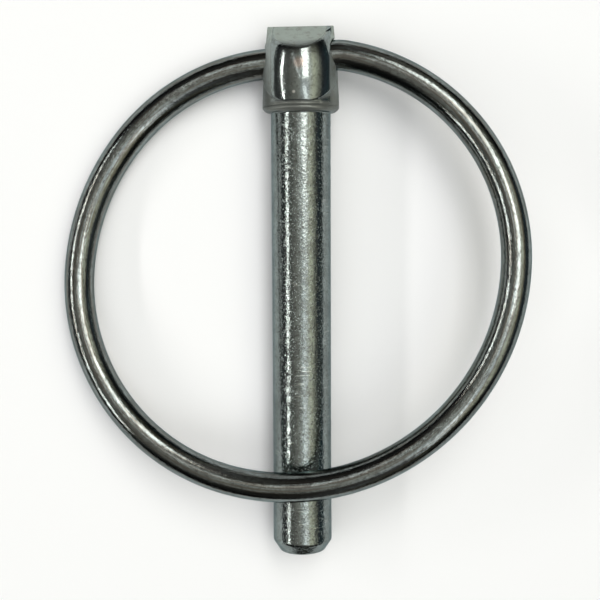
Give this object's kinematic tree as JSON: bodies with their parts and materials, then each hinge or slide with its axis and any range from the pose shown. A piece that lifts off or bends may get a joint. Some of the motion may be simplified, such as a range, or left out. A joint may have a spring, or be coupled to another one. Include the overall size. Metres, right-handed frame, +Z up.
{
  "type": "lynch pin",
  "caption": "Zinc-plated steel lynch pin: a forged headed pin with a round shank and a hinged wire ring that folds over its free end to keep it in its hole.",
  "frame": {"origin": "on the pin's axis where the shank leaves the underside of the head", "axes": "+Y along the pin's axis towards the head, +Z up from the surface it lies on, +X to the right with the folded ring on top"},
  "size_m": [0.0465, 0.0535, 0.0113],
  "materials": {
    "forged_zinc": "bright zinc plating with a faint blue-green tint over a drawn and forged steel surface, lightly pitted and scuffed",
    "wire_zinc": "smooth bright zinc-plated spring wire with a faint blue tint"
  },
  "bodies": {
    "pin": {"pin": "forged_zinc"},
    "ring": {"ring": "wire_zinc"}
  },
  "joints": [
    {"name": "ring_swing", "type": "hinge", "parent": "pin", "child": "ring", "pos_m": [0, 0.00532, 0], "axis": [-0.9829, -0.107, -0.1498], "range_deg": [0, 347.6]}
  ]
}
